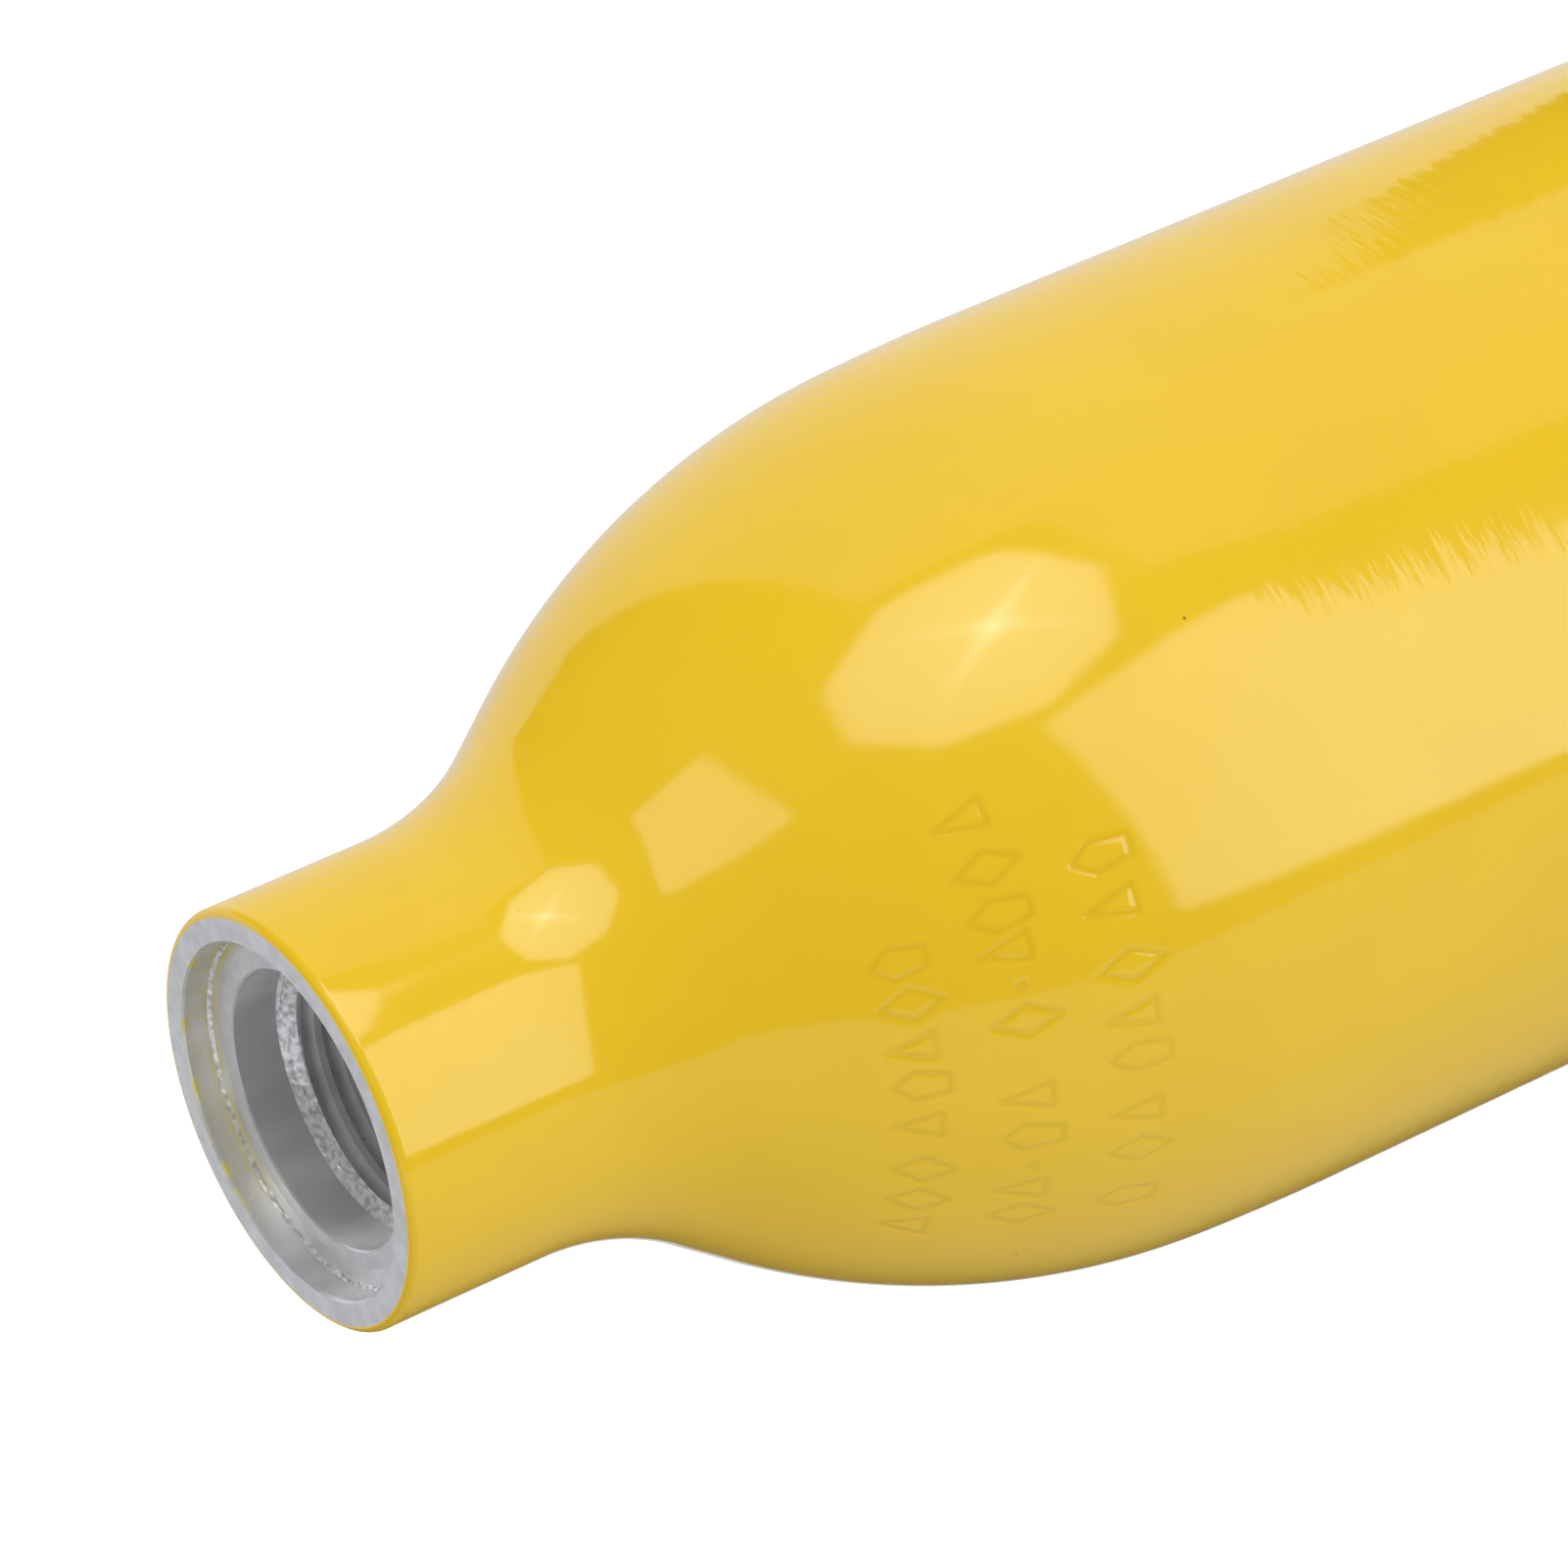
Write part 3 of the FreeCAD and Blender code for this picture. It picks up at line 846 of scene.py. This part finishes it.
def finish_shell(shell, bottle):
    """Give each zone of the shell its finish, by where its faces lie."""
    metal, enamel = tuple(bottle.metal), tuple(bottle.enamel)
    finishes = (
        drawn_aluminium(metal),
        turned_aluminium_painted_sheen(metal, enamel),
        faced_aluminium(metal),
        chattered_aluminium_painted_glints(metal),
    )
    for material in finishes:
        shell.data.materials.append(material)
    drawn, turned, faced, chattered = range(len(finishes))
    shelf_edge = SEAT_RADIUS - CORNER_FILLET - 0.9  # the shelf is matt inside this and bright outside it
    burr_edge = SEAT_RADIUS - 1.2 * CORNER_FILLET
    for face in shell.data.polygons:
        radius, depth = face.center.xy.length / MM, TOP - face.center.z / MM
        on_shelf = abs(depth - SEAT_DEPTH) < ON_SURFACE and radius < shelf_edge
        on_end = depth < 2 * ON_SURFACE or depth > TOP - 2 * ON_SURFACE
        sloping = face.normal.z < 0.99 and abs(face.normal.z) > 0.1
        if on_end or on_shelf:
            face.material_index = faced
        elif radius > SEAT_RADIUS + SEAT_EDGE or depth > DRAWN_BELOW:
            face.material_index = drawn
        elif abs(depth - SEAT_DEPTH) < 0.3 and radius > burr_edge:
            face.material_index = chattered if sloping else turned
        elif SMOOTH_DEPTH < depth < SMOOTH_DEPTH + 1.0:
            face.material_index = chattered
        else:
            face.material_index = turned


# ---- the studio ----------------------------------------------------------------------------------


def from_end_face(point):
    """A place given from the plane of the neck's end face, as one from the foot ring's plane."""
    return Vector((point[0], point[1], TOP + point[2]))


def glow(name, colour, strength):
    """The even light of a lamp or card."""
    material, tree = new_material(name)
    light = add_node(tree, "Emission", Color=rgba(colour), Strength=strength)
    add_node(tree, "OutputMaterial", Surface=light)
    return material


def fading_glow(name, colour, strength, axis, reach, least):
    """The light of a lamp or card that dims along an axis, over a reach in millimetres, to a least share."""
    material, tree = new_material(name)
    place = add_node(tree, "TexCoord").outputs["Object"]
    along = add_node(tree, "SeparateXYZ", Vector=place).outputs[axis]
    fade = add_node(
        tree, "MapRange", **SMOOTH, Value=along, From_Min=reach[0] * MM, From_Max=reach[1] * MM,
        To_Min=strength, To_Max=strength * least,
    )
    light = add_node(tree, "Emission", Color=rgba(colour), Strength=fade)
    add_node(tree, "OutputMaterial", Surface=light)
    return material


def lamp_only(obj):
    """Let a lamp or card be seen in the gloss alone: the room gives the even light."""
    obj.visible_camera = False
    obj.visible_diffuse = False
    obj.visible_shadow = False


def card(name, corners, material):
    """A flat card with its corners at given points, in millimetres from the end face."""
    deselect()
    bpy.ops.mesh.primitive_circle_add(vertices=len(corners), radius=1, fill_type="NGON")
    obj = bpy.context.object
    obj.name = name
    for vertex, corner in zip(obj.data.vertices, corners):
        vertex.co = from_end_face(corner) * MM
    obj.data.materials.append(material)
    lamp_only(obj)


def facing(pivot, azimuth, elevation, distance):
    """A point seen from a pivot in a direction given in degrees, in millimetres."""
    a, e = math.radians(azimuth) - QUARTER, math.radians(elevation)
    way = Vector((math.cos(a) * math.cos(e), math.sin(a) * math.cos(e), math.sin(e)))
    return Vector(pivot) + way * distance


def streak(tree, place, turn):
    """A soft line through a lamp's hot spot, along an angle in degrees, 12 mm wide to each side."""
    a = math.radians(turn)
    across, along = (math.sin(a), -math.cos(a), 0), (math.cos(a), math.sin(a), 0)
    fades = []
    for way, near, far in ((across, 0.0, 0.012), (along, 0.02, 0.15)):
        offset = add_node(tree, "VectorMath", operation="DOT_PRODUCT", _0=place, _1=way).outputs["Value"]
        offset = add_node(tree, "Math", operation="ABSOLUTE", _0=offset)
        fades.append(add_node(
            tree, "MapRange", **SMOOTH, Value=offset, From_Min=near, From_Max=far, To_Min=1.0, To_Max=0.0
        ))
    return add_node(tree, "Math", **TIMES, _0=fades[0], _1=fades[1])


def octagon_glow(strength):
    """The softbox's cloth: an even white with a hot spot, and the folds of its ribs crossing there."""
    material, tree = new_material("octagon_light")
    # the hot spot is off the middle of the cloth; distances on it are in metres
    cloth = add_node(tree, "TexCoord").outputs["Object"]
    place = add_node(tree, "VectorMath", **PLUS, _0=cloth, _1=(0.012, 0.036, 0))
    far = add_node(tree, "VectorMath", operation="LENGTH", _0=place).outputs["Value"]
    light = add_node(
        tree, "MapRange", **SMOOTH, Value=far, From_Min=0.02, From_Max=0.2,
        To_Min=strength * 1.08, To_Max=strength * 0.86,
    )
    for turn, bright in ((60, 3.2), (-39, 2.0)):
        fold = streak(tree, place, turn)
        light = add_node(tree, "Math", operation="MULTIPLY_ADD", _0=fold, _1=bright, _2=light)
    core = add_node(
        tree, "MapRange", **SMOOTH, Value=far, From_Min=0.0, From_Max=0.04, To_Min=2.6, To_Max=0.0
    )
    light = add_node(tree, "Math", **PLUS, _0=light, _1=core)
    shine = add_node(tree, "Emission", Color=(1, 1, 1, 1), Strength=light)
    add_node(tree, "OutputMaterial", Surface=shine)
    return material


def add_octagon(strength):
    """The eight-sided softbox."""
    deselect()
    place = from_end_face(OCTAGON_PLACE)
    turn = (from_end_face(OCTAGON_AIM) - place).to_track_quat("Z", "Y")
    place += turn @ Vector(OCTAGON_SHIFT)
    bpy.ops.mesh.primitive_circle_add(
        vertices=8, radius=OCTAGON_RADIUS * MM, fill_type="NGON", location=place * MM
    )
    obj = bpy.context.object
    obj.name = "octagon_lamp"
    obj.rotation_mode = "QUATERNION"
    obj.rotation_quaternion = turn @ Quaternion((0, 0, 1), OCTAGON_ROLL)
    obj.data.materials.append(octagon_glow(strength))
    lamp_only(obj)


def add_cards(studio):
    """The strip lamp, the high lamp, and the cards round the bottle."""
    strip = fading_glow("strip_light", (1, 1, 1), studio.strip, 2, (TOP - 420, TOP - 60), 0.78)
    card("strip_lamp", STRIP, strip)
    high = [facing(THROAT, *corner, HIGH_DISTANCE) for corner in HIGH_CORNERS]
    card("high_lamp", high, glow("high_light", (1, 1, 1), studio.high))
    board = [(BOARD_X, y, z) for y, z in BOARD]
    card("white_board", board, glow("board_light", (1, 1, 1), studio.board))
    card("pale_card", PALE, fading_glow("pale_light", linear("#F4F6FF"), studio.pale, 1, (-120, 300), 0.12))
    card("back_card", BACK, glow("back_light", linear("#F2F5FF"), studio.back))


def add_floor():
    """A pale floor that gives the bottle a soft contact shadow and doesn't show in its gloss."""
    deselect()
    bpy.ops.mesh.primitive_circle_add(
        vertices=64, radius=FLOOR_RADIUS * MM, fill_type="NGON", location=(0, 0, 0)
    )
    floor = bpy.context.object
    floor.name = "floor"
    material, tree = new_material("floor_pale")
    paint = add_node(
        tree, "BsdfPrincipled", Base_Color=rgba(linear("#F4F4F4")), Roughness=1.0,
        Emission_Color=(1, 1, 1, 1), Emission_Strength=0.45,
    )
    add_node(tree, "OutputMaterial", Surface=paint)
    floor.data.materials.append(material)
    floor.visible_glossy = False
    floor.visible_shadow = False


def add_room(strength):
    """Light from all round, brighter where it leans, which the camera sees and the gloss doesn't show."""
    world = bpy.data.worlds.new("studio_room")
    world.use_nodes = True
    tree = world.node_tree
    tree.nodes.clear()
    # it leans to the white board's side, to the front and to the mouth's end
    way = add_node(tree, "TexCoord").outputs["Generated"]
    lean = add_node(tree, "VectorMath", operation="DOT_PRODUCT", _0=way, _1=ROOM_LEAN).outputs["Value"]
    light = add_node(tree, "Math", **PLUS, _0=lean, _1=strength)
    sky = add_node(tree, "Background", Color=(1, 1, 1, 1), Strength=light)
    add_node(tree, "OutputWorld", Surface=sky)
    world.cycles_visibility.glossy = False
    bpy.context.scene.world = world


def add_camera():
    """The camera: above the mouth and in front, rolled so that the bottle lies across the view."""
    bpy.ops.object.camera_add(location=from_end_face(CAMERA_PLACE) * MM)
    camera = bpy.context.object
    camera.rotation_mode = "ZYX"
    camera.rotation_euler = (CAMERA_TILT, 0, CAMERA_ROLL)
    camera.data.sensor_width = CAMERA_SENSOR
    camera.data.lens = CAMERA_LENS
    bpy.context.scene.camera = camera


# ---- operators, panel and the run ----------------------------------------------------------------


class TANK_OT_shell(bpy.types.Operator):
    """Turn the aluminium shell, bore its neck and cut the thread"""

    bl_idname = "tank.shell"
    bl_label = "Aluminium shell"

    def execute(self, context):
        bottle = context.scene.tank_bottle
        shell = build_shell(bottle)
        finish_shell(shell, bottle)
        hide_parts("cylinder_shell")
        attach(shell, "root")
        return {"FINISHED"}


class TANK_OT_coat(bpy.types.Operator):
    """Turn the enamel coat and press the stamped marks into it"""

    bl_idname = "tank.coat"
    bl_label = "Enamel coat"

    def execute(self, context):
        bottle = context.scene.tank_bottle
        coat = build_coat(bottle)
        coat.data.materials.append(gloss_enamel(tuple(bottle.enamel)))
        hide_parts("paint_coat")
        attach(coat, "root")
        return {"FINISHED"}


class TANK_OT_studio(bpy.types.Operator):
    """Set up the floor, lamps, cards and camera"""

    bl_idname = "tank.studio"
    bl_label = "Studio"

    def execute(self, context):
        studio = context.scene.tank_studio
        context.scene.view_settings.view_transform = "Standard"
        add_room(studio.room)
        add_floor()
        add_octagon(studio.octagon)
        add_cards(studio)
        add_camera()
        return {"FINISHED"}


class TANK_PT_panel(bpy.types.Panel):
    """Buttons and settings for the diving cylinder"""

    bl_idname = "TANK_PT_panel"
    bl_label = "Diving cylinder"
    bl_space_type = "VIEW_3D"
    bl_region_type = "UI"
    bl_category = "Diving cylinder"

    def draw(self, context):
        for settings in (context.scene.tank_bottle, context.scene.tank_studio):
            for name in settings.__annotations__:
                self.layout.prop(settings, name)
        for operator in (TANK_OT_shell, TANK_OT_coat, TANK_OT_studio):
            self.layout.operator(operator.bl_idname)


CLASSES = (BottleSettings, StudioSettings, TANK_OT_shell, TANK_OT_coat, TANK_OT_studio, TANK_PT_panel)


def register():
    for cls in CLASSES:
        bpy.utils.register_class(cls)
    bpy.types.Scene.tank_bottle = bpy.props.PointerProperty(type=BottleSettings)
    bpy.types.Scene.tank_studio = bpy.props.PointerProperty(type=StudioSettings)


def unregister():
    del bpy.types.Scene.tank_studio
    del bpy.types.Scene.tank_bottle
    for cls in reversed(CLASSES):
        bpy.utils.unregister_class(cls)


def main():
    register()
    bpy.ops.tank.shell()
    bpy.ops.tank.coat()
    bpy.ops.tank.studio()


if __name__ == "__main__":
    main()
